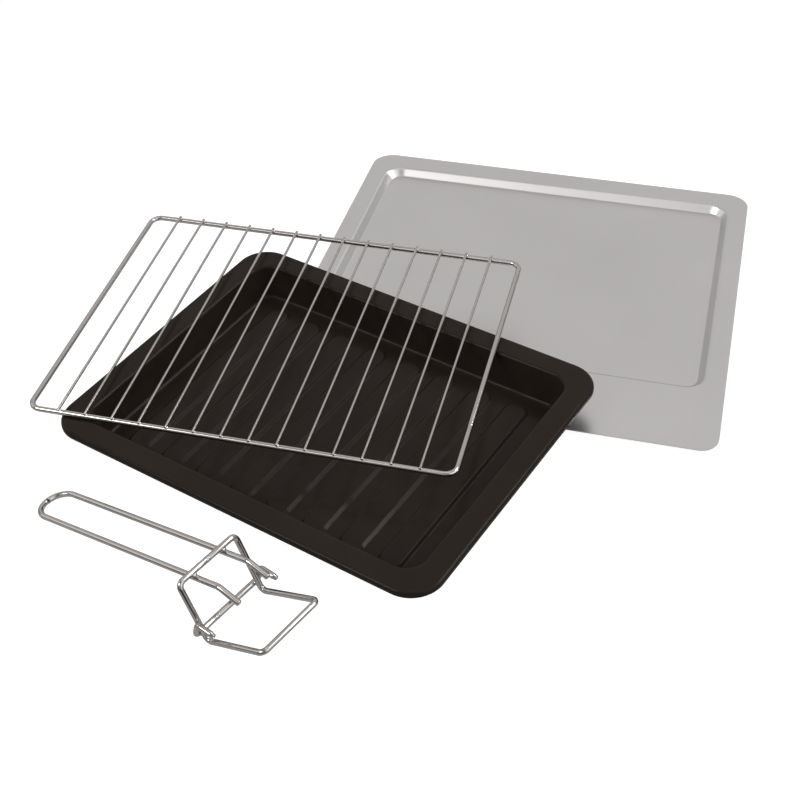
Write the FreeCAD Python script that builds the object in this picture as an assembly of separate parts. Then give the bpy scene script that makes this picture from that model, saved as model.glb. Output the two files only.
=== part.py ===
import FreeCAD
import Part
import math
import os

# The loose accessories of a mini oven, laid out on a table: a crumb tray, a ribbed baking pan whose far
# side rests on the tray's front edge, a wire rack across the pan's rim, and the wire handle that lifts
# them out of the oven. Lengths are millimetres and angles are degrees. +Z is up, X and Y run along the
# crumb tray's edges, -Y is its front, and the origin is on the table under the middle of the group.

# Crumb tray: one pressed sheet with a shallow dish, a flat flange and a front edge bent slightly down
tray_width = 412.0
tray_length = 416.0
tray_sheet = 0.8
tray_back_corner = 22.0
tray_front_corner = 17.0
dish_depth = 7.0
dish_wall_run = 6.5
dish_bend = 2.0
dish_corner = 20.0
dish_border = 4.0
dish_side_margin = 19.0
dish_back_margin = 25.0
dish_front_margin = 81.0
front_strip = 16.5
front_strip_drop = 1.5
front_strip_bend = 8.0

# Baking pan: one drawn sheet with raised ribs across its floor and a rim edge turned down
pan_width = 300.0
pan_length = 378.0
pan_height = 32.0
pan_sheet = 0.8
pan_corner = 29.0
pan_inner_corner = 18.0
pan_flange = 22.0
pan_wall_run = 7.2
pan_wall_border = 3.2
pan_flange_bend = 3.0
pan_floor_bend = 4.0
rim_drop = 5.2
rim_bend = 3.4
rim_border = 4.0
rib_count = 8
rib_pitch = 37.0
rib_length = 221.0
rib_width = 23.6
rib_corner = 11.0
rib_shift = -3.0
rib_height = 2.5
rib_side_run = 2.8
rib_bend = 1.4
rib_border = 1.5

# Wire rack: a closed frame of thick wire with thin wires welded across it, sizes between wire centres
rack_length = 374.0
rack_width = 290.0
rack_corner = 10.0
frame_wire = 5.0
cross_wire = 2.5
cross_wire_count = 14
cross_wire_pitch = 24.4
cross_wire_overhang = 2.0
rack_weld_sink = 0.3

# Tray handle: a hairpin grip, a bent loop and a bar with two prongs, all of one wire, sizes between centres
handle_wire = 5.0
wire_end_round = 0.6
grip_half_width = 15.9
grip_angle = 12.4
grip_length = 217.3
grip_tip_length = 20.3
grip_tip_angle = 15.0
grip_tip_bend = 9.0
loop_half_width = 30.9
loop_behind_tip_bend = 26.1
loop_rear_angle = 64.0
loop_front_side = 62.5
loop_front_angle = 24.6
loop_bend = 5.0
prong_bar_half_width = 35.3
prong_bar_down_side = 44.8
prong_bar_bend = 4.5
prong_upright = 14.7
prong_upright_angle = 76.5
prong_length = 16.8
prong_angle = 5.2
prong_bend = 4.0
handle_weld_sink = 0.3

# How the pieces lie, seen from the crumb tray's middle
pan_x = -124.1
pan_y = -250.8
pan_turn = 71.8
rack_from_pan_x = -61.6
rack_from_pan_y = 74.9
rack_turn = 0.4
handle_x = -312.7
handle_y = -399.4
handle_turn = -22.0
seat_gap = 0.2

X = FreeCAD.Vector(1, 0, 0)
Z = FreeCAD.Vector(0, 0, 1)
ORIGIN = FreeCAD.Vector(0, 0, 0)
SAME_POINT = 0.000001


def heading(rise):
    """Direction in the XZ plane that climbs at this angle."""
    angle = math.radians(rise)
    return FreeCAD.Vector(math.cos(angle), 0, math.sin(angle))


def fused(pieces):
    """Joins touching solids into one, without the seams between them."""
    return pieces[0].multiFuse(pieces[1:]).removeSplitter().Solids[0]


def rounded_run(points, bends):
    """Straight edges through the points, with each inner corner turned on its own radius."""
    edges = []
    start = points[0]
    for before, corner, after, bend in zip(points, points[1:], points[2:], bends):
        into = (corner - before).normalize()
        out = (after - corner).normalize()
        half_turn = into.getAngle(out) / 2
        reach = corner - into * (bend * math.tan(half_turn))
        leave = corner + out * (bend * math.tan(half_turn))
        middle = corner + (out - into).normalize() * (bend / math.cos(half_turn) - bend)
        if start.distanceToPoint(reach) > SAME_POINT:
            edges.append(Part.LineSegment(start, reach).toShape())
        edges.append(Part.Arc(reach, middle, leave).toShape())
        start = leave
    if start.distanceToPoint(points[-1]) > SAME_POINT:
        edges.append(Part.LineSegment(start, points[-1]).toShape())
    return edges


def closed_run(corners, bends):
    """The same round a closed outline, which starts half way along its last side."""
    start = (corners[-1] + corners[0]) / 2
    return rounded_run([start] + corners + [start], bends)


def sheet_section(upper, bends, sheet):
    """Section of a bent sheet in the XZ plane: its upper side follows the points."""
    normals = []
    for a, b in zip(upper, upper[1:]):
        along = (b - a).normalize()
        normals.append(FreeCAD.Vector(along.z, 0, -along.x))
    lower = [upper[0] + normals[0] * sheet]
    lower_bends = []
    for corner, first, second, bend in zip(upper[1:], normals, normals[1:], bends):
        lower.append(corner + (first + second) * (sheet / (1 + first.dot(second))))
        turns_up = first.z * second.x - first.x * second.z < 0
        lower_bends.append(bend + sheet if turns_up else bend - sheet)
    lower.append(upper[-1] + normals[-1] * sheet)
    edges = rounded_run(upper, bends)
    edges.append(Part.LineSegment(upper[-1], lower[-1]).toShape())
    edges += rounded_run(lower, lower_bends)
    edges.append(Part.LineSegment(lower[0], upper[0]).toShape())
    return Part.Face(Part.Wire(Part.__sortEdges__(edges)))


def carried_round(section, half_x, half_y):
    """Carries a section round a rectangle: straight along its sides and turned about its corners."""
    corners = [(half_x, half_y), (-half_x, half_y), (-half_x, -half_y), (half_x, -half_y)]
    pieces = []
    for i, (x, y) in enumerate(corners):
        last = FreeCAD.Vector(corners[i - 1][0], corners[i - 1][1], 0)
        here = FreeCAD.Vector(x, y, 0)
        turned = section.copy()
        turned.rotate(ORIGIN, Z, 90 * i)
        if last.distanceToPoint(here) > SAME_POINT:
            pieces.append(turned.translated(last).extrude(here - last))
        pieces.append(turned.translated(here).revolve(here, Z, 90))
    return pieces


def rounded_block(x0, x1, y0, y1, front_corner, back_corner, bottom, height):
    """Upright block with a rectangular outline and rounded corners."""
    corners = [FreeCAD.Vector(x1, y0, bottom), FreeCAD.Vector(x1, y1, bottom),
               FreeCAD.Vector(x0, y1, bottom), FreeCAD.Vector(x0, y0, bottom)]
    outline = closed_run(corners, [front_corner, back_corner, back_corner, front_corner])
    return Part.Face(Part.Wire(outline)).extrude(Z * height)


def bent_wire(path, diameter):
    """Round wire along a path of straight and round edges."""
    pieces = []
    for edge in path:
        start = edge.valueAt(edge.FirstParameter)
        along = edge.tangentAt(edge.FirstParameter)
        disc = Part.Face(Part.Wire(Part.makeCircle(diameter / 2, start, along)))
        if isinstance(edge.Curve, Part.Circle):
            turn = math.degrees(edge.LastParameter - edge.FirstParameter)
            pieces.append(disc.revolve(edge.Curve.Center, edge.Curve.Axis, turn))
        else:
            pieces.append(disc.extrude(along * edge.Length))
    return fused(pieces) if len(pieces) > 1 else pieces[0]


def with_round_ends(wire):
    """Breaks the sharp edges of a wire's cut ends, its only flat faces."""
    ends = [edge for face in wire.Faces if isinstance(face.Surface, Part.Plane) for edge in face.Edges]
    return wire.makeFillet(wire_end_round, ends)


def crumb_tray():
    """Shallow dish in a flat flange, broadest at the front, where its edge bends down."""
    top = dish_depth + tray_sheet
    half_width = tray_width / 2
    half_length = tray_length / 2
    edge_line = FreeCAD.Vector(-half_length, 0, top - front_strip_drop)
    crease = FreeCAD.Vector(front_strip - half_length, 0, top)
    back = FreeCAD.Vector(half_length, 0, top)
    flange = sheet_section([edge_line, crease, back], [front_strip_bend], tray_sheet)
    flange = flange.extrude(FreeCAD.Vector(0, tray_width, 0)).translated(FreeCAD.Vector(0, -half_width, 0))
    flange.rotate(ORIGIN, Z, 90)
    flange = flange.common(rounded_block(-half_width, half_width, -half_length, half_length,
                                         tray_front_corner, tray_back_corner, 0, 2 * top))
    dish_x = half_width - dish_side_margin
    dish_front = dish_front_margin - half_length
    dish_back = half_length - dish_back_margin
    opening = rounded_block(-dish_x - dish_border, dish_x + dish_border, dish_front - dish_border,
                            dish_back + dish_border, dish_corner + dish_border, dish_corner + dish_border,
                            0, 2 * top)
    foot = dish_corner - dish_wall_run
    section = sheet_section([FreeCAD.Vector(0, 0, tray_sheet), FreeCAD.Vector(foot, 0, tray_sheet),
                             FreeCAD.Vector(dish_corner, 0, top),
                             FreeCAD.Vector(dish_corner + dish_border, 0, top)],
                            [dish_bend, dish_bend], tray_sheet)
    half_x = dish_x - dish_corner
    half_y = (dish_back - dish_front) / 2 - dish_corner
    pieces = carried_round(section, half_x, half_y)
    pieces.append(Part.makeBox(2 * half_x, 2 * half_y, tray_sheet, FreeCAD.Vector(-half_x, -half_y, 0)))
    dish_middle = FreeCAD.Vector(0, (dish_back + dish_front) / 2, 0)
    return fused([flange.cut(opening)] + [piece.translated(dish_middle) for piece in pieces])


def floor_middle_half():
    """Half sizes of the rectangle inside the pan about whose corners its walls turn."""
    inset = pan_flange + pan_inner_corner
    return pan_width / 2 - inset, pan_length / 2 - inset


def ribs_and_slots():
    """The raised ribs, and the slots in the floor that they fill."""
    rib_top = pan_sheet + rib_height
    side = sheet_section([FreeCAD.Vector(0, 0, rib_top), FreeCAD.Vector(rib_corner - rib_side_run, 0, rib_top),
                          FreeCAD.Vector(rib_corner, 0, pan_sheet),
                          FreeCAD.Vector(rib_corner + rib_border, 0, pan_sheet)],
                         [rib_bend, rib_bend], pan_sheet)
    rib_x = rib_length / 2 - rib_corner
    rib_y = rib_width / 2 - rib_corner
    top = Part.makeBox(2 * rib_x, 2 * rib_y, pan_sheet, FreeCAD.Vector(-rib_x, -rib_y, rib_height))
    rib = fused(carried_round(side, rib_x, rib_y) + [top])
    slot_x = rib_length / 2 + rib_border
    slot_y = rib_width / 2 + rib_border
    slot_corner = rib_corner + rib_border
    slot = rounded_block(-slot_x, slot_x, -slot_y, slot_y, slot_corner, slot_corner, 0, pan_sheet)
    ribs = []
    slots = []
    for i in range(rib_count):
        place = FreeCAD.Vector(rib_shift, (i - (rib_count - 1) / 2) * rib_pitch, 0)
        ribs.append(rib.translated(place))
        slots.append(slot.translated(place))
    return ribs, slots


def baking_pan():
    """Ribbed floor, steep walls, a flat flange and an edge turned down; base at z 0."""
    wall = sheet_section([FreeCAD.Vector(0, 0, pan_sheet),
                          FreeCAD.Vector(pan_inner_corner - pan_wall_run, 0, pan_sheet),
                          FreeCAD.Vector(pan_inner_corner, 0, pan_height),
                          FreeCAD.Vector(pan_inner_corner + pan_wall_border, 0, pan_height)],
                         [pan_floor_bend, pan_flange_bend], pan_sheet)
    half_x, half_y = floor_middle_half()
    floor = Part.makeBox(2 * half_x, 2 * half_y, pan_sheet, FreeCAD.Vector(-half_x, -half_y, 0))
    pieces = [floor] + carried_round(wall, half_x, half_y)
    rim_corner = pan_corner - rim_border
    rim = sheet_section([FreeCAD.Vector(rim_corner, 0, pan_height), FreeCAD.Vector(pan_corner, 0, pan_height),
                         FreeCAD.Vector(pan_corner, 0, pan_height - rim_drop)], [rim_bend], pan_sheet)
    rim_x = pan_width / 2 - rim_border
    rim_y = pan_length / 2 - rim_border
    pieces += carried_round(rim, rim_x - rim_corner, rim_y - rim_corner)
    mouth_x = pan_width / 2 - pan_flange + pan_wall_border
    mouth_y = pan_length / 2 - pan_flange + pan_wall_border
    mouth_corner = pan_inner_corner + pan_wall_border
    flange = rounded_block(-rim_x, rim_x, -rim_y, rim_y, rim_corner, rim_corner, pan_height - pan_sheet, pan_sheet)
    mouth = rounded_block(-mouth_x, mouth_x, -mouth_y, mouth_y, mouth_corner, mouth_corner, 0, 2 * pan_height)
    pan = fused([flange.cut(mouth)] + pieces)
    ribs, slots = ribs_and_slots()
    for slot in slots:
        pan = pan.cut(slot)
    return fused([pan] + ribs)


def rack_frame():
    """Closed rectangle of thick wire, its centre line at z 0."""
    x = rack_length / 2
    y = rack_width / 2
    corners = [FreeCAD.Vector(x, -y, 0), FreeCAD.Vector(x, y, 0), FreeCAD.Vector(-x, y, 0), FreeCAD.Vector(-x, -y, 0)]
    return bent_wire(closed_run(corners, [rack_corner] * 4), frame_wire)


def rack_wires():
    """Thin straight wires on top of the frame's two long sides."""
    reach = rack_width / 2 + cross_wire_overhang
    height = (frame_wire + cross_wire) / 2 - rack_weld_sink
    wires = []
    for i in range(cross_wire_count):
        x = (i - (cross_wire_count - 1) / 2) * cross_wire_pitch
        path = rounded_run([FreeCAD.Vector(x, -reach, height), FreeCAD.Vector(x, reach, height)], [])
        wires.append(with_round_ends(bent_wire(path, cross_wire)))
    return wires


def mirrored_run(points):
    """A path from its far side end over to the same points on the near side."""
    return points + [FreeCAD.Vector(p.x, -p.y, p.z) for p in reversed(points)]


def grip_end():
    """Where the hairpin's bend lies on the table."""
    return FreeCAD.Vector(0, 0, handle_wire / 2) - heading(0) * grip_half_width


def handle_grip():
    """Hairpin whose two legs climb from the table and turn down at their free tips."""
    side = FreeCAD.Vector(0, grip_half_width, 0)
    bend = grip_end() + side + heading(grip_angle) * grip_length
    tip = bend + heading(-grip_tip_angle) * grip_tip_length
    path = rounded_run(mirrored_run([tip, bend, grip_end() + side]),
                       [grip_tip_bend, grip_half_width, grip_half_width, grip_tip_bend])
    return with_round_ends(bent_wire(path, handle_wire))


def loop_rear():
    """Middle of the loop's rear bar, which is welded on top of the two legs."""
    foot = grip_end() + heading(grip_angle) * (grip_length - loop_behind_tip_bend)
    return foot + heading(grip_angle + 90) * (handle_wire - handle_weld_sink)


def handle_loop():
    """Closed loop: down from the rear bar to the table, and up again to the front bar."""
    half_angle = (180 - loop_rear_angle - loop_front_angle) / 2
    bend_lift = loop_bend * heading(loop_front_angle + half_angle).z / heading(half_angle).z - loop_bend
    drop = loop_rear().z - (handle_wire / 2 - bend_lift)
    side = FreeCAD.Vector(0, loop_half_width, 0)
    rear = loop_rear() + side
    low = rear + heading(-loop_rear_angle) * (drop / heading(loop_rear_angle).z)
    front = low + heading(loop_front_angle) * loop_front_side
    return bent_wire(closed_run(mirrored_run([rear, low, front]), [loop_bend] * 6), handle_wire)


def handle_prong_bar():
    """Bar welded behind the loop's sides, whose ends turn up and forward as two prongs."""
    at_side = loop_rear() + heading(-loop_rear_angle) * prong_bar_down_side
    corner = at_side - heading(90 - loop_rear_angle) * (handle_wire - handle_weld_sink)
    corner = corner + FreeCAD.Vector(0, prong_bar_half_width, 0)
    shoulder = corner + heading(prong_upright_angle) * prong_upright
    tip = shoulder + heading(-prong_angle) * prong_length
    path = rounded_run(mirrored_run([tip, shoulder, corner]), [prong_bend, prong_bar_bend, prong_bar_bend, prong_bend])
    return with_round_ends(bent_wire(path, handle_wire))


def pan_seat():
    """Tilt and base height of the pan: one base corner on the table, its far side on the tray's crease."""
    base_bend = pan_floor_bend + pan_sheet
    wall_slope = math.atan2(pan_height - pan_sheet, pan_wall_run)
    flat_end = pan_inner_corner - pan_wall_run - pan_floor_bend * math.tan(wall_slope / 2)
    turn = math.radians(pan_turn)
    half_x, half_y = floor_middle_half()
    low_corner = -half_x * math.sin(turn) - half_y * math.cos(turn)
    crease = front_strip - tray_length / 2 - pan_y
    lift = dish_depth + tray_sheet + seat_gap
    tilt = 0
    for step in range(20):
        rise = lift - base_bend * (1 - math.cos(tilt))
        tilt = math.asin(rise / (crease / math.cos(tilt) + flat_end - low_corner))
    height = base_bend - base_bend * math.cos(tilt) + (flat_end - low_corner) * math.sin(tilt)
    return math.degrees(tilt), height


def placed(shapes, placement):
    """Copies of the shapes moved by the placement."""
    return [shape.transformed(placement.toMatrix(), True) for shape in shapes]


def main():
    tilt, height = pan_seat()
    on_tray = FreeCAD.Placement(FreeCAD.Vector(pan_x, pan_y, height), FreeCAD.Rotation(X, tilt))
    pan_place = on_tray * FreeCAD.Placement(ORIGIN, FreeCAD.Rotation(Z, pan_turn))
    rack_height = pan_height + seat_gap + frame_wire / 2
    rack_place = on_tray * FreeCAD.Placement(FreeCAD.Vector(rack_from_pan_x, rack_from_pan_y, rack_height),
                                             FreeCAD.Rotation(Z, rack_turn))
    handle_place = FreeCAD.Placement(FreeCAD.Vector(handle_x, handle_y, 0), FreeCAD.Rotation(Z, handle_turn))

    names = ["crumb_tray", "baking_pan", "rack_frame"]
    names += ["rack_wire_%02d" % (i + 1) for i in range(cross_wire_count)]
    names += ["handle_grip", "handle_loop", "handle_prong_bar"]
    shapes = [crumb_tray()]
    shapes += placed([baking_pan()], pan_place)
    shapes += placed([rack_frame()] + rack_wires(), rack_place)
    shapes += placed([handle_grip(), handle_loop(), handle_prong_bar()], handle_place)

    box = Part.makeCompound(shapes).optimalBoundingBox(False, False)
    middle = FreeCAD.Vector((box.XMin + box.XMax) / 2, (box.YMin + box.YMax) / 2, box.ZMin)
    os.makedirs("parts", exist_ok=True)
    for name, shape in zip(names, shapes):
        shape.translated(-middle).exportStep("parts/%s.step" % name)
        print(name, shape.isValid(), round(shape.Volume), len(shape.Faces))
    print("middle", middle, "size", box.XLength, box.YLength, box.ZLength, "tilt", tilt, "height", height)


main()
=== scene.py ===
# %% [markdown]
# # The loose accessories of a small oven
#
# Four pieces lie on a white table: a shallow crumb tray of bare sheet metal, a ribbed baking pan in
# black enamel, a chromed wire rack across the pan's rim, and the wire handle that lifts them out of the
# oven. The measured solids are loaded first, and everything that follows is made around them.

# %% Load the measured solids
import math
import bpy
from mathutils import Matrix, Vector


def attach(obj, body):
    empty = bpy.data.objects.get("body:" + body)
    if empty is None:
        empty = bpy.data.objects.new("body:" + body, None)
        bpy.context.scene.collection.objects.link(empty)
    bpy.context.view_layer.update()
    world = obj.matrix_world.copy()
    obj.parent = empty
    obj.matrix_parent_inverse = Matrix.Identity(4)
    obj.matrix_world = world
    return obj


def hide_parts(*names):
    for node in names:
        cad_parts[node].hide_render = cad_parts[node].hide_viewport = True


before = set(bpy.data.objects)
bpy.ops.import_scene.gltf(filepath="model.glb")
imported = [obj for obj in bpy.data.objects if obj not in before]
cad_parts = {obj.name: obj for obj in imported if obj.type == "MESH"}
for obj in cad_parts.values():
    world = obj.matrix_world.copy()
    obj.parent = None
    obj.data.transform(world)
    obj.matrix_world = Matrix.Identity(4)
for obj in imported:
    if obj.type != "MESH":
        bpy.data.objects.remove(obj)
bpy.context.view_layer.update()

MM = 0.001
print("solids", sorted(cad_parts))

# %% [markdown]
# ## Where the four pieces lie
#
# Each piece is easiest to draw in its own space, flat and centred. One matrix per piece then carries it
# to its place. The pan's far side rests on the crumb tray's front edge, so the pan is tilted by a few
# degrees, and the rack lies on the pan's rim with the same tilt. Lengths are in millimetres and angles in
# degrees from here on, unless a comment says otherwise.

# %% Places
TRAY_MIDDLE = (85.069, 157.343)
PAN_MIDDLE = (-124.1, -250.8)
PAN_LIFT = 5.823
PAN_TILT = 2.1023
PAN_TURN = 71.8
PAN_HEIGHT = 32.0
RACK_FROM_PAN = (-61.6, 74.9)
RACK_TURN = 0.4
RACK_GAP = 0.2
HANDLE_FROM_TRAY = (-312.7, -399.4)
HANDLE_TURN = -22.0
FRAME_WIRE = 5.0


def moved(x, y, z):
    """Matrix of a move given in millimetres."""
    return Matrix.Translation(Vector((x, y, z)) * MM)


def turned(angle, axis):
    """Matrix of a turn given in degrees."""
    return Matrix.Rotation(math.radians(angle), 4, axis)


tray_place = moved(*TRAY_MIDDLE, 0)
on_tray = tray_place @ moved(*PAN_MIDDLE, PAN_LIFT) @ turned(PAN_TILT, "X")
pan_place = on_tray @ turned(PAN_TURN, "Z")
rack_place = on_tray @ moved(*RACK_FROM_PAN, PAN_HEIGHT + RACK_GAP + FRAME_WIRE / 2) @ turned(RACK_TURN, "Z")
handle_place = tray_place @ moved(*HANDLE_FROM_TRAY, 0) @ turned(HANDLE_TURN, "Z")
print("the pan's base corner stands", round(pan_place.translation.z / MM, 2), "mm up at its middle")

# %% [markdown]
# ## Camera
#
# The photograph looks down on the table at about forty degrees. The focal length is given in picture
# widths first, because that is how it was worked out, and then as millimetres on a 36 mm sensor. The
# camera starts out looking straight down. It is tipped up from there, then turned about the vertical.
# A camera set by eye is never quite right, so its numbers were worked out from the corners of the pan, the
# rack and the tray.

# %% Camera
SENSOR = 36.0
FOCAL_IN_WIDTHS = 1.7106585
CAMERA_PLACE = (255.97, -946.193, 797.229)
LOOK_DOWN = 40.302291
CAMERA_ROLL = -1.094503
CAMERA_TURN = 15.239343

camera = bpy.data.objects.new("camera", bpy.data.cameras.new("camera"))
bpy.context.scene.collection.objects.link(camera)
camera.data.sensor_width = SENSOR
camera.data.lens = FOCAL_IN_WIDTHS * SENSOR
aim = turned(CAMERA_TURN, "Z") @ turned(90 - LOOK_DOWN, "X") @ turned(CAMERA_ROLL, "Z")
camera.matrix_world = moved(*CAMERA_PLACE) @ aim
bpy.context.scene.camera = camera
bpy.context.scene.view_settings.view_transform = "Standard"
print("lens", round(camera.data.lens, 2), "mm")

# %% [markdown]
# ## A short way to write node trees
#
# A node tree is easier to read as sums than as a list of links. A Signal is one output of a node, and
# arithmetic on it adds the Math nodes that do that sum. A Board is one tree, for a material or for
# geometry, and its node method makes any other node: its settings come first, then its sockets.

# %% Signal and Board
class Signal:
    """One output of a node; arithmetic on it adds Math nodes."""

    def __init__(self, board, socket):
        self.board = board
        self.socket = socket

    def sum(self, operation, *values):
        """The result of one more Math node."""
        return self.board.node("ShaderNodeMath", {"operation": operation}, dict(enumerate(values)))["Value"]

    def __add__(self, other):
        return self.sum("ADD", self, other)

    def __radd__(self, other):
        return self.sum("ADD", other, self)

    def __sub__(self, other):
        return self.sum("SUBTRACT", self, other)

    def __rsub__(self, other):
        return self.sum("SUBTRACT", other, self)

    def __mul__(self, other):
        return self.sum("MULTIPLY", self, other)

    def __rmul__(self, other):
        return self.sum("MULTIPLY", other, self)

    def __truediv__(self, other):
        return self.sum("DIVIDE", self, other)

    def __rtruediv__(self, other):
        return self.sum("DIVIDE", other, self)

    def clamped(self, low, high):
        """Nought below the low value, one above the high one, and a soft step between."""
        settings = {"interpolation_type": "SMOOTHSTEP", "clamp": True}
        sockets = {"Value": self, "From Min": low, "From Max": high}
        return self.board.node("ShaderNodeMapRange", settings, sockets)["Result"]


class Made:
    """A node that has been made; its outputs are read by name."""

    def __init__(self, board, node):
        self.board = board
        self.node = node

    def __getitem__(self, name):
        live = [s for s in self.node.outputs if s.enabled and s.name == name]
        return Signal(self.board, live[0])


class Board:
    """A node tree that is written as sums and calls."""

    def __init__(self, tree):
        self.tree = tree

    def node(self, kind, settings=None, sockets=None):
        """A new node: its settings are set first, then its sockets are set or linked."""
        made = self.tree.nodes.new(kind)
        for key, value in (settings or {}).items():
            if key == "stops":
                self.set_stops(made.color_ramp, value)
            else:
                setattr(made, key, value)
        for key, value in (sockets or {}).items():
            live = [s for s in made.inputs if s.enabled and s.name == key]
            self.feed(made.inputs[key] if isinstance(key, int) else live[0], value)
        return Made(self, made)

    def feed(self, target, value):
        """Links a socket to a signal, or sets it to a value."""
        if isinstance(value, Signal):
            self.tree.links.new(value.socket, target)
        else:
            target.default_value = value

    def set_stops(self, ramp, stops):
        """Gives a colour ramp these stops, each as (place, colour)."""
        while len(ramp.elements) < len(stops):
            ramp.elements.new(1.0)
        for element, (place, colour) in zip(ramp.elements, stops):
            element.position = place
            element.color = colour


def axes(board, **values):
    """A vector from its X, Y and Z."""
    return board.node("ShaderNodeCombineXYZ", None, values)["Vector"]


# %% [markdown]
# ## Geometry trees and how they become plain meshes
#
# A Geometry Nodes tree is a small machine: an outline goes in, a finished shape comes out, and its sizes
# are named inputs. The machine is run once, its result is kept as a plain mesh, and the mesh is carried
# to its place on the table.

# %% Geometry tree helpers
def geometry_board(name, inputs):
    """A new geometry tree with named inputs; returns its board and its group input."""
    kinds = {float: "NodeSocketFloat", int: "NodeSocketInt"}
    tree = bpy.data.node_groups.new(name, "GeometryNodeTree")
    tree.interface.new_socket("Geometry", in_out="INPUT", socket_type="NodeSocketGeometry")
    for label, default in inputs.items():
        socket = tree.interface.new_socket(label, in_out="INPUT", socket_type=kinds[type(default)])
        socket.default_value = default
    tree.interface.new_socket("Finish", in_out="INPUT", socket_type="NodeSocketMaterial")
    tree.interface.new_socket("Geometry", in_out="OUTPUT", socket_type="NodeSocketGeometry")
    board = Board(tree)
    return board, board.node("NodeGroupInput")


def finish_tree(board, shape, finish):
    """Ends a tree the way each of them ends: real meshes with their material."""
    real = board.node("GeometryNodeRealizeInstances", None, {"Geometry": shape})["Geometry"]
    smooth = board.node("GeometryNodeSetShadeSmooth", None, {"Geometry": real})["Geometry"]
    coated = board.node("GeometryNodeSetMaterial", None, {"Geometry": smooth, "Material": finish})["Geometry"]
    board.node("NodeGroupOutput", None, {"Geometry": coated})
    print("tree", board.tree.name, "has", len(board.tree.nodes), "nodes")


def plain_mesh(piece):
    """Keeps what the piece's modifiers make of it as its own mesh, and removes them."""
    bpy.context.view_layer.update()
    graph = bpy.context.evaluated_depsgraph_get()
    made = piece.evaluated_get(graph)
    plain = bpy.data.meshes.new_from_object(made, preserve_all_data_layers=True, depsgraph=graph)
    piece.modifiers.clear()
    piece.data = plain
    plain.name = piece.name


def run_tree(name, start, tree, values, place=None):
    """Runs a geometry tree on a start mesh and returns the plain mesh object, carried to its place."""
    piece = bpy.data.objects.new(name, start)
    bpy.context.scene.collection.objects.link(piece)
    machine = piece.modifiers.new("shape", "NODES")
    machine.node_group = tree
    for socket in tree.interface.items_tree:
        if socket.in_out == "INPUT" and socket.name in values:
            machine[socket.identifier] = values[socket.name]
    plain_mesh(piece)
    if place is not None:
        piece.data.transform(place)
    print(name, len(piece.data.polygons), "faces")
    return piece


def path_mesh(name, lines, value_name):
    """A mesh of nothing but lines, each (points, closed); a point is (place, bend, value)."""
    points, edges, groups = [], [], []
    for group, (line, closed) in enumerate(lines):
        first = len(points)
        points += line
        groups += [group] * len(line)
        edges += [(first + i, first + i + 1) for i in range(len(line) - 1)]
        if closed:
            edges.append((first + len(line) - 1, first))
    mesh = bpy.data.meshes.new(name)
    mesh.from_pydata([place * MM for place, bend, value in points], edges, [])
    columns = (("bend", "FLOAT", [bend * MM for place, bend, value in points]),
               (value_name, "FLOAT", [value for place, bend, value in points]),
               ("line", "INT", groups))
    for label, kind, values in columns:
        mesh.attributes.new(label, kind, "POINT").data.foreach_set("value", values)
    return mesh


# %% [markdown]
# ## Finishes
#
# Chromed wire, black enamel and bare sheet metal. Each one has a colour that varies a little, and a
# roughness and a bump that vary with it. None of them is a single flat colour, because real metal never
# is: chrome has a fine grain, fired enamel is slightly wavy, and sheet keeps the marks of its rolling.
# Enamel also runs thin over bends, so it is a little paler and rougher there, in patches. The patterns
# are sums of soft noise in the piece's own space, so they need no picture and no seams show.

# %% Material helpers
NOISE_LOW, NOISE_HIGH = 0.3, 0.7


def shade(level, tint=(1.0, 1.0, 1.0)):
    """A colour of this lightness with a slight tint."""
    return (level * tint[0], level * tint[1], level * tint[2], 1.0)


def material_board(name):
    """A new material; returns it, its board and its surface shader's node."""
    print("finish", name)
    finish = bpy.data.materials.new(name)
    finish.use_nodes = True
    board = Board(finish.node_tree)
    return finish, board, finish.node_tree.nodes["Principled BSDF"]


def noise(board, place, scale, detail):
    """Soft noise from nought to one, so many times to the metre."""
    return board.node("ShaderNodeTexNoise", None, {"Vector": place, "Scale": scale, "Detail": detail})["Fac"]


def two_tones(board, factor, dark, light):
    """A colour between two tones; the noise is stretched so that it uses both."""
    settings = {"stops": [(NOISE_LOW, dark), (NOISE_HIGH, light)]}
    return board.node("ShaderNodeValToRGB", settings, {"Fac": factor})["Color"]


def bumped(board, height, strength, distance, under=None):
    """The surface's direction, changed by this height; one bump can lie over another."""
    sockets = {"Strength": strength, "Distance": distance, "Height": height}
    if under is not None:
        sockets["Normal"] = under
    return board.node("ShaderNodeBump", None, sockets)["Normal"]


def set_surface(board, surface, sockets):
    """Sets or links sockets of the surface shader."""
    for key, value in sockets.items():
        board.feed(surface.inputs[key], value)


# %% Chromed wire
CHROME_TINT = (1.0, 0.957, 0.93)
CHROME_DULL = 0.93
CHROME_MOTTLE = 0.05


def chrome(name, level, roughness):
    """Plated wire: mirror-like, with dull patches and a fine grit from the drawing of the wire."""
    finish, board, surface = material_board(name)
    place = board.node("ShaderNodeTexCoord")["Object"]
    mottle = noise(board, place, scale=90.0, detail=4.0)
    grit = noise(board, place, scale=1400.0, detail=2.0)
    colour = two_tones(board, mottle, shade(level * CHROME_DULL, CHROME_TINT), shade(level, CHROME_TINT))
    bump = bumped(board, grit, strength=0.25, distance=0.00004)
    rough = mottle * CHROME_MOTTLE + roughness
    set_surface(board, surface, {"Base Color": colour, "Metallic": 1.0, "Roughness": rough, "Normal": bump})
    return finish


rack_chrome = chrome("rack_chrome", level=0.52, roughness=0.12)
handle_chrome = chrome("handle_chrome", level=0.5, roughness=0.06)

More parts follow.
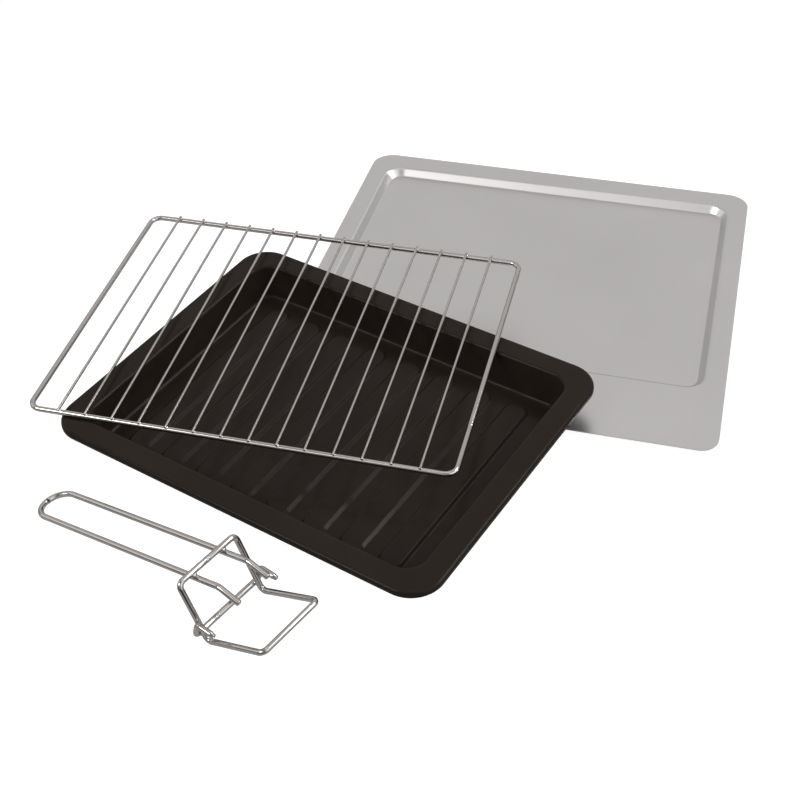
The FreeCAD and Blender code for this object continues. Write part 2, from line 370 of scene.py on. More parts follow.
# %% Black enamel
ENAMEL_DARK = (0.0155, 0.0115, 0.0092, 1.0)
ENAMEL_LIGHT = (0.02, 0.015, 0.012, 1.0)
ENAMEL_EDGE = (0.023, 0.0175, 0.014, 1.0)
ENAMEL_ROUGHNESS, ENAMEL_CLOUDED = 0.15, 0.08
ENAMEL_IOR, ENAMEL_SHINE = 1.32, 0.16
THIN_COLOUR, THIN_ROUGHNESS = 0.6, 0.05
BEND_SEEN = 0.001  # radius in metres from which a bend counts in full

enamel, board, surface = material_board("black_enamel")
place = board.node("ShaderNodeTexCoord")["Object"]
clouds = noise(board, place, scale=14.0, detail=3.0)
waves = noise(board, place, scale=22.0, detail=1.0)
peel = noise(board, place, scale=350.0, detail=1.0)
patches = noise(board, place, scale=60.0, detail=3.0).clamped(low=0.35, high=0.75)
edge = board.node("ShaderNodeAttribute", {"attribute_name": "bend"})["Fac"].clamped(0.0, BEND_SEEN)
thin = edge * patches
tones = two_tones(board, clouds, ENAMEL_DARK, ENAMEL_LIGHT)
blend = {"Factor": thin * THIN_COLOUR, "A": tones, "B": ENAMEL_EDGE}
colour = board.node("ShaderNodeMix", {"data_type": "RGBA"}, blend)["Result"]
bump = bumped(board, waves, strength=1.0, distance=0.0001)
bump = bumped(board, peel, strength=0.2, distance=0.00005, under=bump)
rough = clouds * ENAMEL_CLOUDED + ENAMEL_ROUGHNESS + thin * THIN_ROUGHNESS
set_surface(board, surface, {"Base Color": colour, "Roughness": rough, "Normal": bump,
                             "IOR": ENAMEL_IOR, "Specular IOR Level": ENAMEL_SHINE})

# %% Bare sheet metal
SHEET_TINT = (1.0, 0.985, 0.985)
SHEET_DARK, SHEET_LIGHT = 0.62, 0.66
SHEET_ROUGHNESS, SHEET_CLOUDED, SHEET_ROLLED = 0.28, 0.06, 0.03
ROLLED_SHARE = 0.15
ROLLED_STRETCH = (1.0, 0.03, 1.0)

sheet_metal, board, surface = material_board("sheet_metal")
place = board.node("ShaderNodeTexCoord")["Object"]
clouds = noise(board, place, scale=7.0, detail=4.0)
along = board.node("ShaderNodeMapping", None, {"Vector": place, "Scale": ROLLED_STRETCH})["Vector"]
rolled = noise(board, along, scale=700.0, detail=3.0)
dents = noise(board, place, scale=16.0, detail=2.0)
marks = clouds * (1 - ROLLED_SHARE) + rolled * ROLLED_SHARE
tones = two_tones(board, marks, shade(SHEET_DARK, SHEET_TINT), shade(SHEET_LIGHT, SHEET_TINT))
bump = bumped(board, dents, strength=1.0, distance=0.00008)
bump = bumped(board, rolled, strength=0.1, distance=0.00002, under=bump)
rough = clouds * SHEET_CLOUDED + rolled * SHEET_ROLLED + SHEET_ROUGHNESS
set_surface(board, surface, {"Base Color": tones, "Metallic": 1.0, "Roughness": rough, "Normal": bump})

# %% [markdown]
# ## Pressed sheet
#
# The crumb tray and the pan are each stamped from one flat sheet. Such a shape follows a simple rule: a
# short section, the line that a knife would show, is carried round a rounded rectangle, and flat plates
# close what is left open. The tree draws only the upper side, and the Solidify modifier gives the sheet
# its thickness. A short flat border at each end of a section keeps the shading of the plates flat. The
# same shape could be pushed and bevelled out of a box, but the bends would not keep their true radius.

# %% Sections and plates
CORNER_STEPS = 20
BEND_STEPS = 7
SAME_PLACE = 0.01
SHARP_ANGLE = 38.0
FLANGE_PLATE, FLOOR_PLATE, RIB_PLATE = 1.0, 2.0, 3.0


def section(points):
    """A section, listed from the inside outwards, as (out, up, bend, plate) in millimetres."""
    return [(Vector((out, -up, 0)), bend, plate) for out, up, bend, plate in points], False


def named(board, name, kind="FLOAT"):
    """A value that each point of the start mesh carries."""
    return board.node("GeometryNodeInputNamedAttribute", {"data_type": kind}, {"Name": name})["Attribute"]


def pick(board, mesh, values, wanted, kind):
    """The part of a mesh whose value is the wanted one."""
    settings = {"data_type": kind, "operation": "EQUAL"}
    same = board.node("FunctionNodeCompare", settings, {"A": values, "B": wanted})["Result"]
    sockets = {"Geometry": mesh, "Selection": same}
    return board.node("GeometryNodeSeparateGeometry", {"domain": "POINT"}, sockets)["Selection"]


def bent_line(board, mesh, number, steps):
    """One of the start mesh's lines, as a curve with its corners rounded."""
    line = pick(board, mesh, named(board, "line", "INT"), number, "INT")
    curve = board.node("GeometryNodeMeshToCurve", None, {"Mesh": line})["Curve"]
    sockets = {"Curve": curve, "Count": steps, "Radius": named(board, "bend"), "Limit Radius": True}
    return board.node("GeometryNodeFilletCurve", {"mode": "POLY"}, sockets)["Curve"]


def carried_round(board, width, length, corner, shape):
    """A section carried round a rounded rectangle."""
    sockets = {"Width": width, "Height": length}
    sides = board.node("GeometryNodeCurvePrimitiveQuadrilateral", {"mode": "RECTANGLE"}, sockets)["Curve"]
    sockets = {"Curve": sides, "Count": CORNER_STEPS, "Radius": corner}
    rail = board.node("GeometryNodeFilletCurve", {"mode": "POLY"}, sockets)["Curve"]
    rail = board.node("GeometryNodeSetCurveNormal", {"mode": "Z_UP"}, {"Curve": rail})["Curve"]
    return board.node("GeometryNodeCurveToMesh", None, {"Curve": rail, "Profile Curve": shape})["Mesh"]


def at_height(board, shape, height, across=0.0):
    """A shape raised to this height, and moved along Y."""
    shift = axes(board, Y=across, Z=height)
    return board.node("GeometryNodeTransform", None, {"Geometry": shape, "Translation": shift})["Geometry"]


def plate_loops(board, rings, number):
    """The edges of the carried sections that belong to one plate."""
    loops = pick(board, rings, named(board, "plate"), number, "FLOAT")
    return board.node("GeometryNodeMeshToCurve", None, {"Mesh": loops})["Curve"]


def filled(board, curves, height):
    """A flat plate between closed curves, at this height."""
    flat = board.node("GeometryNodeFillCurve", {"mode": "TRIANGLES"}, {"Curve": curves})["Mesh"]
    return at_height(board, flat, height)


def joined(board, pieces):
    """Several pieces as one geometry, in this order."""
    join = board.node("GeometryNodeJoinGeometry")
    for piece in reversed(pieces):
        board.feed(join.node.inputs["Geometry"], piece)
    return join["Geometry"]


def welded(board, pieces):
    """The pieces as one mesh, with the points that share a place made one."""
    sockets = {"Geometry": joined(board, pieces), "Distance": SAME_PLACE * MM}
    return board.node("GeometryNodeMergeByDistance", None, sockets)["Geometry"]


def row_of_points(board, count, step, start):
    """Points in a straight row, with this step from each to the next."""
    row = board.node("GeometryNodeMeshLine", {"mode": "OFFSET"}, {"Count": count})
    board.feed(row.node.inputs["Offset"], step)
    board.feed(row.node.inputs["Start Location"], start)
    return row["Mesh"]


def in_metres(sizes):
    """Sizes given in millimetres, as the metres that a tree takes."""
    return {label: size * MM for label, size in sizes.items()}


def sheet_piece(name, start, tree, values, sheet, place):
    """Runs a sheet's tree, gives the sheet its thickness and carries it to its place."""
    piece = run_tree(name, start, tree, values)
    thick = piece.modifiers.new("thickness", "SOLIDIFY")
    thick.thickness = sheet * MM
    thick.offset = -1.0
    thick.use_even_offset = True
    plain_mesh(piece)
    piece.data.set_sharp_from_angle(angle=math.radians(SHARP_ANGLE))
    piece.data.transform(place)
    return piece


# %% [markdown]
# ## The baking pan
#
# A drawn pan with steep walls, a flat flange and an edge turned down. Eight long ribs, pressed up from
# below, stiffen the floor. One tree makes the whole pan from three sections: the edge, the wall and the
# side of a rib. The rib is made once and then set at every place, so eight stay as even as the press
# makes them, and one value moves or widens them all.

# %% Sizes of the pan
SHEET = 0.8
PAN = {"Width": 300.0, "Length": 378.0, "Corner": 29.0, "Flange": 22.0, "Mouth Corner": 18.0,
       "Depth": PAN_HEIGHT - SHEET, "Rib Length": 221.0, "Rib Width": 23.6, "Rib Corner": 11.0,
       "Rib Height": 2.5, "Rib Pitch": 37.0, "Rib Shift": -3.0}
RIB_COUNT = 8
RIM_DROP, RIM_BEND, RIM_BORDER = 5.2, 3.4, 4.0
WALL_RUN, WALL_FOOT_BEND, WALL_TOP_BEND = 7.2, 4.0, 3.0
FLOOR_BORDER, FLANGE_BORDER = 6.5, 3.2
RIB_SIDE_RUN, RIB_BEND, RIB_BORDER, RIB_FOOT = 2.8, 1.4, 1.4, 1.5
print("the pan's mouth is", *[PAN[side] - PAN["Flange"] * 2 for side in ("Width", "Length")], "mm")

# %% Pan tree
board, given = geometry_board("ribbed_pan", {**in_metres({**PAN, "Sheet": SHEET}), "Rib Count": RIB_COUNT})
pan_tree = board.tree
mesh = given["Geometry"]
edge_line, wall_line, rib_line = [bent_line(board, mesh, number, BEND_STEPS) for number in range(3)]
top = given["Sheet"] + given["Depth"]
rib_top = given["Sheet"] + given["Rib Height"]
rim = carried_round(board, given["Width"], given["Length"], given["Corner"], edge_line)
rim = at_height(board, rim, top)
mouth_width = given["Width"] - given["Flange"] * 2
mouth_length = given["Length"] - given["Flange"] * 2
wall = carried_round(board, mouth_width, mouth_length, given["Mouth Corner"], wall_line)
wall = at_height(board, wall, given["Sheet"])
rib = carried_round(board, given["Rib Length"], given["Rib Width"], given["Rib Corner"], rib_line)
rib = at_height(board, rib, given["Sheet"])
first = axes(board, X=given["Rib Shift"], Y=(given["Rib Count"] - 1) * given["Rib Pitch"] * -0.5)
row = row_of_points(board, given["Rib Count"], axes(board, Y=given["Rib Pitch"]), first)
ribs = board.node("GeometryNodeInstanceOnPoints", None, {"Points": row, "Instance": rib})["Instances"]
ribs = board.node("GeometryNodeRealizeInstances", None, {"Geometry": ribs})["Geometry"]
rings = joined(board, [rim, wall, ribs])
plates = [filled(board, plate_loops(board, rings, number), height)
          for number, height in ((FLANGE_PLATE, top), (FLOOR_PLATE, given["Sheet"]), (RIB_PLATE, rib_top))]
finish_tree(board, welded(board, [rings] + plates), given["Finish"])

# %% The pan from its three sections
depth, height = PAN["Depth"], PAN["Rib Height"]
edge_section = section([(-RIM_BORDER, 0, 0, FLANGE_PLATE), (0, 0, RIM_BEND, 0), (0, -RIM_DROP, 0, 0)])
wall_section = section([(-WALL_RUN - FLOOR_BORDER, 0, 0, FLOOR_PLATE), (-WALL_RUN, 0, WALL_FOOT_BEND, 0),
                        (0, depth, WALL_TOP_BEND, 0), (FLANGE_BORDER, depth, 0, FLANGE_PLATE)])
rib_section = section([(-RIB_SIDE_RUN - RIB_BORDER, height, 0, RIB_PLATE),
                       (-RIB_SIDE_RUN, height, RIB_BEND, 0), (0, 0, RIB_BEND, 0),
                       (RIB_FOOT, 0, 0, FLOOR_PLATE)])
start = path_mesh("pan_sections", [edge_section, wall_section, rib_section], "plate")
pan = sheet_piece("ribbed_pan", start, pan_tree, {"Finish": enamel}, SHEET, pan_place)
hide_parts("baking_pan")
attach(pan, "baking_pan")

# %% [markdown]
# ## The crumb tray
#
# A shallow dish in a flat flange, which is broadest at the front, where its edge bends down along a crease.
# The outline is drawn as two loops that share the crease, and the dish's wall is one section carried
# round. The front is drawn flat and then lowered the more, the further a point lies past the crease.

# %% Sizes of the crumb tray
TRAY_HALF_WIDTH, TRAY_HALF_LENGTH = 206.0, 208.0
TRAY_BACK_CORNER, TRAY_FRONT_CORNER = 22.0, 17.0
STRIP = 16.5
STRIP_DROP = 1.5
DISH = {"Dish Width": 374.0, "Dish Length": 310.0, "Dish Corner": 20.0, "Dish Depth": 7.0,
        "Dish Middle": 28.0, "Crease": STRIP - TRAY_HALF_LENGTH}
DISH_WALL_RUN, DISH_FOOT_BEND, DISH_TOP_BEND = 6.5, 1.6, 4.0
DISH_FLOOR_BORDER, DISH_FLANGE_BORDER = 1.6, 4.0
print("the tray is", TRAY_HALF_WIDTH * 2, "by", TRAY_HALF_LENGTH * 2, "mm")

# %% Tray tree
tray_sizes = {**DISH, "Strip": STRIP, "Strip Drop": STRIP_DROP, "Sheet": SHEET}
board, given = geometry_board("dished_tray", in_metres(tray_sizes))
tray_tree = board.tree
mesh = given["Geometry"]
wall_line = bent_line(board, mesh, 0, BEND_STEPS)
main_outline, strip_outline = [bent_line(board, mesh, number, CORNER_STEPS) for number in (1, 2)]
top = given["Sheet"] + given["Dish Depth"]
wall = carried_round(board, given["Dish Width"], given["Dish Length"], given["Dish Corner"], wall_line)
wall = at_height(board, wall, given["Sheet"], given["Dish Middle"])
flange = filled(board, joined(board, [main_outline, plate_loops(board, wall, FLANGE_PLATE)]), top)
floor_plate = filled(board, plate_loops(board, wall, FLOOR_PLATE), given["Sheet"])
strip = filled(board, strip_outline, top)
tray = welded(board, [wall, flange, floor_plate, strip])
spot = board.node("GeometryNodeInputPosition")["Position"]
y = board.node("ShaderNodeSeparateXYZ", None, {"Vector": spot})["Y"]
share = (given["Crease"] - y) / given["Strip"]
past = board.node("ShaderNodeMath", {"operation": "MAXIMUM"}, {0: share, 1: 0.0})["Value"]
fall = axes(board, Z=past * given["Strip Drop"] * -1)
tray = board.node("GeometryNodeSetPosition", None, {"Geometry": tray, "Offset": fall})["Geometry"]
finish_tree(board, tray, given["Finish"])

# %% The tray from its section and its outline
x, back, front, crease = TRAY_HALF_WIDTH, TRAY_HALF_LENGTH, -TRAY_HALF_LENGTH, DISH["Crease"]
depth = DISH["Dish Depth"]
dish_section = section([(-DISH_WALL_RUN - DISH_FLOOR_BORDER, 0, 0, FLOOR_PLATE),
                        (-DISH_WALL_RUN, 0, DISH_FOOT_BEND, 0), (0, depth, DISH_TOP_BEND, 0),
                        (DISH_FLANGE_BORDER, depth, 0, FLANGE_PLATE)])
main_loop = [(Vector((x, crease, 0)), 0, 0), (Vector((x, back, 0)), TRAY_BACK_CORNER, 0),
             (Vector((-x, back, 0)), TRAY_BACK_CORNER, 0), (Vector((-x, crease, 0)), 0, 0)]
strip_loop = [(Vector((-x, crease, 0)), 0, 0), (Vector((-x, front, 0)), TRAY_FRONT_CORNER, 0),
              (Vector((x, front, 0)), TRAY_FRONT_CORNER, 0), (Vector((x, crease, 0)), 0, 0)]
start = path_mesh("tray_lines", [dish_section, (main_loop, True), (strip_loop, True)], "plate")
tray = sheet_piece("dished_tray", start, tray_tree, {"Finish": sheet_metal}, SHEET, tray_place)
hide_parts("crumb_tray")
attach(tray, "crumb_tray")

# %% [markdown]
# ## Wire that follows a path
#
# Every wire here is one thickness from end to end, so one geometry tree makes them all. The path is
# drawn as a few straight lines. Each of its points says how tightly the wire bends there, and how thick
# the wire is there, which rounds the cut ends and raises the bead of a butt weld. A curve with a round
# bevel would give the plain wire too, but it has one bend for all corners and no marks of making.

# %% The wire tree
WIRE_BEND_STEPS = 12
ROUND_THIN, ROUND_THICK = 16, 24

wire_sizes = {"Wire": FRAME_WIRE * MM, "Around": ROUND_THICK, "Bend Steps": WIRE_BEND_STEPS}
board, given = geometry_board("wire_on_a_path", wire_sizes)
wire_tree = board.tree
path = bent_line(board, given["Geometry"], 0, given["Bend Steps"])
sockets = {"Resolution": given["Around"], "Radius": given["Wire"] / 2}
ring = board.node("GeometryNodeCurvePrimitiveCircle", None, sockets)["Curve"]
sockets = {"Curve": path, "Profile Curve": ring, "Scale": named(board, "girth"), "Fill Caps": True}
body = board.node("GeometryNodeCurveToMesh", None, sockets)["Mesh"]
finish_tree(board, body, given["Finish"])

# %% Marks along a wire
CUT_END = ((0.0, 0.76), (0.12, 0.88), (0.35, 0.97), (0.7, 1.0))
SHEARED_END = ((0.0, 0.6), (0.15, 0.74), (0.5, 0.8), (2.6, 0.84), (2.9, 0.97), (3.4, 1.0))
BUTT_WELD = ((-1.5, 1.0), (-0.9, 0.95), (-0.5, 1.06), (0.5, 1.06), (0.9, 0.95), (1.5, 1.0))


def stations(a, b, marks):
    """Extra points at these distances along the line from a to b, each with its own girth."""
    along = (b - a).normalized()
    return [(a + along * distance, 0.0, girth) for distance, girth in marks]


def with_cut_ends(points, marks=CUT_END):
    """Rounds the two cut ends of an open path of (point, bend, girth)."""
    first = stations(points[0][0], points[1][0], marks)
    last = stations(points[-1][0], points[-2][0], marks)
    return first + points[1:-1] + last[::-1]


def bent_wire(name, points, closed, wire, around, finish, place):
    """One wire along a path."""
    start = path_mesh(name + "_path", [(points, closed)], "girth")
    values = {"Wire": wire * MM, "Around": around, "Finish": finish}
    return run_tree(name, start, wire_tree, values, place)


# %% [markdown]
# ## Weld beads
#
# Where two wires cross they are pressed together and melted by a current, and a little metal is squeezed
# out round the spot. Each bead is one small lump, set at every crossing, turned and scaled at random,
# since no two welds come out alike. Without them the wires would seem to lie loose on each other.

# %% Weld tree
RACK_BEAD = {"Across": 3.7, "Height": 1.9}
HANDLE_BEAD = {"Across": 5.6, "Height": 4.6}
BEAD_SEGMENTS, BEAD_RINGS = 16, 9
BEAD_LUMPS = 0.5
BEAD_SPREAD = 0.1
WELD_SEED = 3


def random_value(board, least, most, seed):
    """A number drawn afresh for each bead."""
    sockets = {"Min": least, "Max": most, "Seed": seed}
    return board.node("FunctionNodeRandomValue", {"data_type": "FLOAT"}, sockets)["Value"]


board, given = geometry_board("weld_beads", {**in_metres(RACK_BEAD), "Seed": WELD_SEED})
weld_tree = board.tree
sockets = {"Segments": BEAD_SEGMENTS, "Rings": BEAD_RINGS, "Radius": given["Across"] / 2}
ball = board.node("GeometryNodeMeshUVSphere", None, sockets)["Mesh"]
place = board.node("GeometryNodeInputPosition")["Position"]
swell = (noise(board, place, scale=700.0, detail=1.0) - 0.5) * BEAD_LUMPS
swell = board.node("ShaderNodeVectorMath", {"operation": "SCALE"}, {0: place, "Scale": swell})["Vector"]
lump = board.node("GeometryNodeSetPosition", None, {"Geometry": ball, "Offset": swell})["Geometry"]
flat = axes(board, X=1.0, Y=1.0, Z=given["Height"] / given["Across"])
lump = board.node("GeometryNodeTransform", None, {"Geometry": lump, "Scale": flat})["Geometry"]
turn = random_value(board, 0.0, math.tau, given["Seed"])
size = random_value(board, 1 - BEAD_SPREAD, 1 + BEAD_SPREAD, given["Seed"])
spin = axes(board, Z=turn)
spots = board.node("GeometryNodeMeshToPoints", None, {"Mesh": given["Geometry"]})["Points"]
sockets = {"Points": spots, "Instance": lump, "Rotation": spin, "Scale": size}
beads = board.node("GeometryNodeInstanceOnPoints", None, sockets)["Instances"]
finish_tree(board, beads, given["Finish"])


def weld_beads(name, spots, sizes, finish, place):
    """Beads of one size at these points."""
    start = bpy.data.meshes.new(name + "_spots")
    start.from_pydata([spot * MM for spot in spots], [], [])
    return run_tree(name, start, weld_tree, {**in_metres(sizes), "Finish": finish}, place)


# %% [markdown]
# ## The rack
#
# The rack's frame is one thick wire bent round to a closed rectangle. Its two ends meet in a butt weld
# on the short side at the right. Fourteen thin wires lie on top of it and are welded down at each end.
# They are cut alike and evenly spaced by a jig, so one wire is made and a row repeats it.

# %% Rack frame
RACK_LENGTH = 374.0
RACK_WIDTH = 290.0
RACK_CORNER = 10.0
RACK_WELD = 85.0

x, y = RACK_LENGTH / 2, RACK_WIDTH / 2
near_right, far_right = Vector((x, -y, 0)), Vector((x, y, 0))
far_left, near_left = Vector((-x, y, 0)), Vector((-x, -y, 0))
weld = stations(Vector((x, -RACK_WELD, 0)), far_right, BUTT_WELD)
rack_path = [(p, RACK_CORNER, 1.0) for p in (near_right, far_right, far_left, near_left)]
rack_path[1:1] = weld
rack_frame = bent_wire("rack_frame_wire", rack_path, True, FRAME_WIRE, ROUND_THICK, rack_chrome, rack_place)

# %% Fourteen thin wires
CROSS_WIRE = 2.5
CROSS_PITCH = 24.4
CROSS_COUNT = 14
CROSS_OVERHANG = 2.0
WELD_SINK = 0.3
CROSS_HEIGHT = (FRAME_WIRE + CROSS_WIRE) / 2 - WELD_SINK

row_sizes = {"Count": CROSS_COUNT, **in_metres({"Pitch": CROSS_PITCH, "Height": CROSS_HEIGHT})}
board, given = geometry_board("wires_side_by_side", row_sizes)
side_by_side = board.tree
first = axes(board, X=(given["Count"] - 1) * given["Pitch"] * -0.5, Z=given["Height"])
row = row_of_points(board, given["Count"], axes(board, X=given["Pitch"]), first)
sockets = {"Points": row, "Instance": given["Geometry"]}
wires = board.node("GeometryNodeInstanceOnPoints", None, sockets)["Instances"]
finish_tree(board, wires, given["Finish"])

reach = RACK_WIDTH / 2 + CROSS_OVERHANG
straight = with_cut_ends([(Vector((0, -reach, 0)), 0.0, 1.0), (Vector((0, reach, 0)), 0.0, 1.0)])
one_wire = bent_wire("one_cross_wire", straight, False, CROSS_WIRE, ROUND_THIN, rack_chrome, Matrix())
rack_wires = run_tree("rack_wires", one_wire.data.copy(), side_by_side, {"Finish": rack_chrome}, rack_place)
bpy.data.objects.remove(one_wire)

# %% Welds of the rack
BEAD_SINK = 0.1

bead_height = FRAME_WIRE / 2 - BEAD_SINK
crossings = [Vector(((i - (CROSS_COUNT - 1) / 2) * CROSS_PITCH, side * RACK_WIDTH / 2, bead_height))
             for side in (-1, 1) for i in range(CROSS_COUNT)]
rack_welds = weld_beads("rack_welds", crossings, RACK_BEAD, rack_chrome, rack_place)

# %% The rack's pieces take the place of its solids
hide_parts("rack_frame")
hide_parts(*["rack_wire_%02d" % (i + 1) for i in range(CROSS_COUNT)])
for piece in (rack_frame, rack_wires, rack_welds):
    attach(piece, "rack")
print("the rack has", CROSS_COUNT, "cross wires and", len(crossings), "welds")

# %% [markdown]
# ## The tray handle
#
# Three wires of one thickness. The grip is a hairpin that lies on the table at its round end and climbs
# away from it. The loop stands across the grip's legs and reaches forward along the table. A bar is
# welded behind the loop's sides, and its ends turn up and forward as two prongs. The corners of each
# path are worked out from lengths and angles, as a wire bender would set them, and not placed by eye:
# so the loop stands on the legs and on the table, and the bar lies against the loop.

# %% Handle paths
HANDLE_WIRE = 5.0
GRIP_HALF_WIDTH = 15.9
GRIP_CLIMB = 12.4
GRIP_LENGTH = 217.3
TIP_LENGTH = 20.3
TIP_FALL = 15.0
TIP_BEND = 9.0
LOOP_HALF_WIDTH = 30.9
LOOP_BEHIND_TIP = 26.1
LOOP_REAR_FALL = 64.0
LOOP_FRONT_SIDE = 62.5
LOOP_FRONT_CLIMB = 24.6
LOOP_BEND = 5.0
BAR_HALF_WIDTH = 35.3
BAR_DOWN_SIDE = 44.8
BAR_BEND = 4.5
BAR_WELD = -12.0
PRONG_UPRIGHT = 14.7
PRONG_CLIMB = 76.5
PRONG_LENGTH = 16.8
PRONG_FALL = 5.2
PRONG_BEND = 4.0


def heading(climb):
    """Direction along the handle that climbs at this angle."""
    return Vector((math.cos(math.radians(climb)), 0, math.sin(math.radians(climb))))


def mirrored(points, between=()):
    """The path from its end on the far side, over to the same points on the near side."""
    near = [(Vector((p.x, -p.y, p.z)), bend, girth) for p, bend, girth in reversed(points)]
    return points + list(between) + near


grip_end = Vector((0, 0, HANDLE_WIRE / 2)) - heading(0) * GRIP_HALF_WIDTH
side = Vector((0, GRIP_HALF_WIDTH, 0))
bend_at = grip_end + side + heading(GRIP_CLIMB) * GRIP_LENGTH
tip = bend_at + heading(-TIP_FALL) * TIP_LENGTH
grip_path = mirrored([(tip, 0.0, 1.0), (bend_at, TIP_BEND, 1.0), (grip_end + side, GRIP_HALF_WIDTH, 1.0)])

on_legs = grip_end + heading(GRIP_CLIMB) * (GRIP_LENGTH - LOOP_BEHIND_TIP)
rear = on_legs + heading(GRIP_CLIMB + 90) * (HANDLE_WIRE - WELD_SINK)
# The rounded wire passes above its corner point by bend_lift, so that point lies lower
half_angle = (180 - LOOP_REAR_FALL - LOOP_FRONT_CLIMB) / 2
bend_lift = LOOP_BEND * heading(LOOP_FRONT_CLIMB + half_angle).z / heading(half_angle).z - LOOP_BEND
drop = rear.z - (HANDLE_WIRE / 2 - bend_lift)
side = Vector((0, LOOP_HALF_WIDTH, 0))
low = rear + side + heading(-LOOP_REAR_FALL) * (drop / heading(LOOP_REAR_FALL).z)
front = low + heading(LOOP_FRONT_CLIMB) * LOOP_FRONT_SIDE
loop_path = mirrored([(p, LOOP_BEND, 1.0) for p in (rear + side, low, front)])
loop_path += stations(rear, rear + side, BUTT_WELD)

at_side = rear + heading(-LOOP_REAR_FALL) * BAR_DOWN_SIDE
behind = at_side - heading(90 - LOOP_REAR_FALL) * (HANDLE_WIRE - WELD_SINK)
corner = behind + Vector((0, BAR_HALF_WIDTH, 0))
shoulder = corner + heading(PRONG_CLIMB) * PRONG_UPRIGHT
prong_tip = shoulder + heading(-PRONG_FALL) * PRONG_LENGTH
bar_weld = stations(behind + Vector((0, BAR_WELD, 0)), behind - Vector((0, BAR_HALF_WIDTH, 0)), BUTT_WELD)
bar_path = mirrored([(prong_tip, 0.0, 1.0), (shoulder, PRONG_BEND, 1.0), (corner, BAR_BEND, 1.0)], bar_weld)
print("the loop's top is", round(rear.z + HANDLE_WIRE / 2, 1), "mm up")

# %% Handle wires
paths = (("grip_wire", with_cut_ends(grip_path), False), ("loop_wire", loop_path, True),
         ("prong_wire", with_cut_ends(bar_path, SHEARED_END), False))
wires = [bent_wire(name, path, closed, HANDLE_WIRE, ROUND_THICK, handle_chrome, handle_place)
         for name, path, closed in paths]
for piece, node in zip(wires, ("handle_grip", "handle_loop", "handle_prong_bar")):
    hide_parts(node)

# %% Welds of the handle
sides = (Vector((0, -1, 0)), Vector((0, 1, 0)))
welds = [(on_legs + rear) / 2 + side * GRIP_HALF_WIDTH for side in sides]
welds += [(at_side + behind) / 2 + side * LOOP_HALF_WIDTH for side in sides]
handle_welds = weld_beads("handle_welds", welds, HANDLE_BEAD, handle_chrome, handle_place)
for piece in wires + [handle_welds]:
    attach(piece, "tray_handle")

# %% [markdown]
# ## Light, floor and background
#
# The photograph was taken in a studio and its background is plain white. Shiny wire and enamel show
# what stands round them, so the studio is painted on the world: a plain room that is darker low down,
# soft boxes of light and a few dark screens, each given by where it stands and how wide it is. Real
# lamps would do as well, but a painted box takes one line, written from the highlight that it makes. The
# floor is white paper. In a round pool near the object it glows a little less than white and paint makes
# up the rest, so that shadows show, and only the pool is mirrored or throws light back. The lamp's width
# and the floor's numbers are in metres.

# %% World
WHITE = (1.0, 1.0, 1.0, 1.0)
ROOM = 0.4
ROOM_LOW = 0.2
ROOM_CLIMB = 0.4  # sine of the height angle at which the walls are at their lightest
ROOM_TINT = (1.0, 0.985, 0.97, 1.0)
SOFT_EDGE = 0.35
# Each one is (compass angle from +X, height angle, half width, light added), less than nought for a screen
BOXES_AND_SCREENS = [
    (100.0, 28.0, 42.0, 0.3),
    (180.0, 26.0, 18.0, 0.75),
    (-136.0, 43.0, 10.0, 8.0),
    (-116.0, 52.0, 10.0, 1.6),
    (20.0, 48.0, 6.0, 4.0),
    (39.0, 50.0, 7.0, 11.0),
    (15.0, 30.5, 4.5, 13.0),
    (-15.0, 30.0, 28.0, 1.1),
    (95.0, 0.0, 14.0, -0.4),
    (-48.0, 0.0, 30.0, -0.18),
    (-113.0, 68.0, 11.0, -0.33),
]


def direction(compass, height):
    """Unit vector towards this place on the studio's walls."""
    flat, up = math.cos(math.radians(height)), math.sin(math.radians(height))
    return (flat * math.cos(math.radians(compass)), flat * math.sin(math.radians(compass)), up)


def facing(board, look, way):
    """How nearly a line of sight goes this way, as the cosine of the angle between them."""
    return board.node("ShaderNodeVectorMath", {"operation": "DOT_PRODUCT"}, {0: look, 1: way})["Value"]


world = bpy.data.worlds.new("studio")
bpy.context.scene.world = world
world.use_nodes = True
world.node_tree.nodes.clear()
board = Board(world.node_tree)
look = board.node("ShaderNodeTexCoord")["Generated"]
look = board.node("ShaderNodeVectorMath", {"operation": "NORMALIZE"}, {0: look})["Vector"]
light = facing(board, look, (0, 0, 1)).clamped(0.0, ROOM_CLIMB) * (ROOM - ROOM_LOW) + ROOM_LOW
for compass, height, half, strength in BOXES_AND_SCREENS:
    outside, inside = [math.cos(math.radians(half * (1 + part))) for part in (SOFT_EDGE, -SOFT_EDGE)]
    light = facing(board, look, direction(compass, height)).clamped(outside, inside) * strength + light
seen = board.node("ShaderNodeLightPath")["Is Camera Ray"]
lit = board.node("ShaderNodeBackground", None, {"Color": ROOM_TINT, "Strength": light})["Background"]
white = board.node("ShaderNodeBackground", None, {"Color": WHITE, "Strength": 1.0})["Background"]
mix = board.node("ShaderNodeMixShader", None, {0: seen, 1: lit, 2: white})["Shader"]
board.node("ShaderNodeOutputWorld", None, {"Surface": mix})
print("the studio has", len(BOXES_AND_SCREENS), "boxes and screens")

# %% Lamp
LAMP_ACROSS = 1.2
LAMP_POWER = 3.0
LAMP_PLACE = (100, -100, 2200)

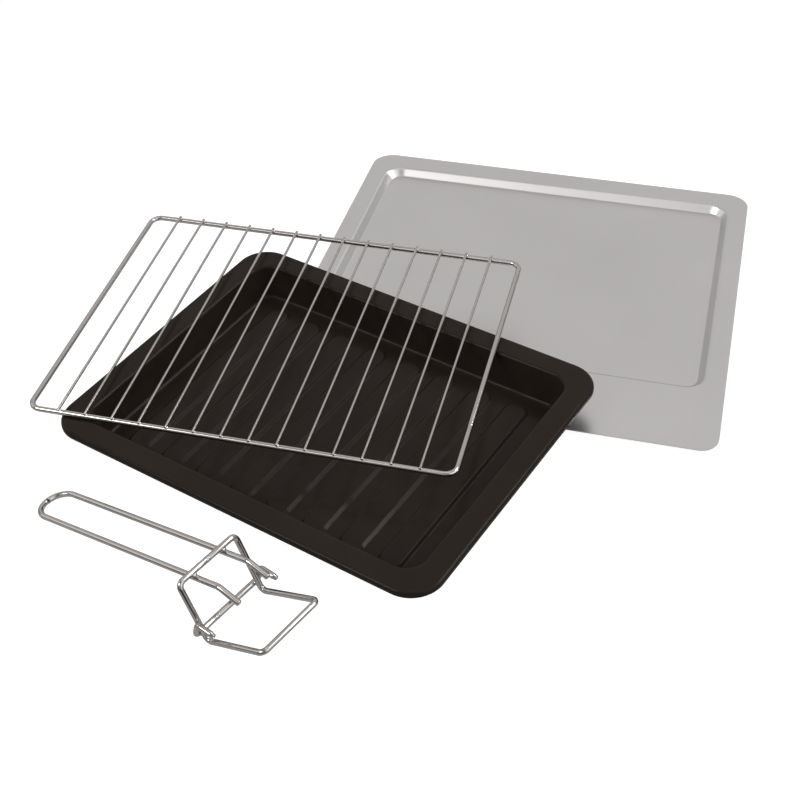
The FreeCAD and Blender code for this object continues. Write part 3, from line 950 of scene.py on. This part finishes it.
lamp = bpy.data.objects.new("ceiling_box", bpy.data.lights.new("ceiling_box", "AREA"))
bpy.context.scene.collection.objects.link(lamp)
lamp.data.shape = "DISK"
lamp.data.size = LAMP_ACROSS
lamp.data.energy = LAMP_POWER
lamp.matrix_world = moved(*LAMP_PLACE)
print("lamp", LAMP_POWER, "W,", LAMP_PLACE[2], "mm up")

# %% Floor
FLOOR_HALF = 6.0
FLOOR_PAINT = 0.3
FLOOR_SHADE = 0.08
POOL_INNER, POOL_OUTER = 0.45, 0.9
POOL_MIDDLE = (0, 0.15, 0)
FLOOR_MIRRORED = 0.25

floor_mesh = bpy.data.meshes.new("floor")
corners = [(x * FLOOR_HALF, y * FLOOR_HALF, 0) for x, y in ((-1, -1), (1, -1), (1, 1), (-1, 1))]
floor_mesh.from_pydata(corners, [], [(0, 1, 2, 3)])
floor = bpy.data.objects.new("floor", floor_mesh)
bpy.context.scene.collection.objects.link(floor)
floor_white = bpy.data.materials.new("floor_white")
floor_white.use_nodes = True
floor_white.node_tree.nodes.clear()
board = Board(floor_white.node_tree)
paths = board.node("ShaderNodeLightPath")
place = board.node("ShaderNodeTexCoord")["Object"]
away = board.node("ShaderNodeVectorMath", {"operation": "DISTANCE"}, {0: place, 1: POOL_MIDDLE})["Value"]
pool = 1.0 - away.clamped(POOL_INNER, POOL_OUTER)
seen = paths["Is Camera Ray"] + paths["Is Transmission Ray"]
shown = seen * (1.0 - pool * pool * FLOOR_SHADE) + paths["Is Glossy Ray"] * pool * FLOOR_MIRRORED
glow = board.node("ShaderNodeEmission", None, {"Color": WHITE, "Strength": shown})["Emission"]
grey = dict.fromkeys(("Red", "Green", "Blue"), pool * FLOOR_PAINT)
paper = board.node("ShaderNodeCombineColor", None, grey)["Color"]
paint = board.node("ShaderNodeBsdfDiffuse", None, {"Color": paper})["BSDF"]
both = board.node("ShaderNodeAddShader", None, {0: glow, 1: paint})["Shader"]
board.node("ShaderNodeOutputMaterial", None, {"Surface": both})
floor_mesh.materials.append(floor_white)
print("floor", FLOOR_HALF * 2, "m across")
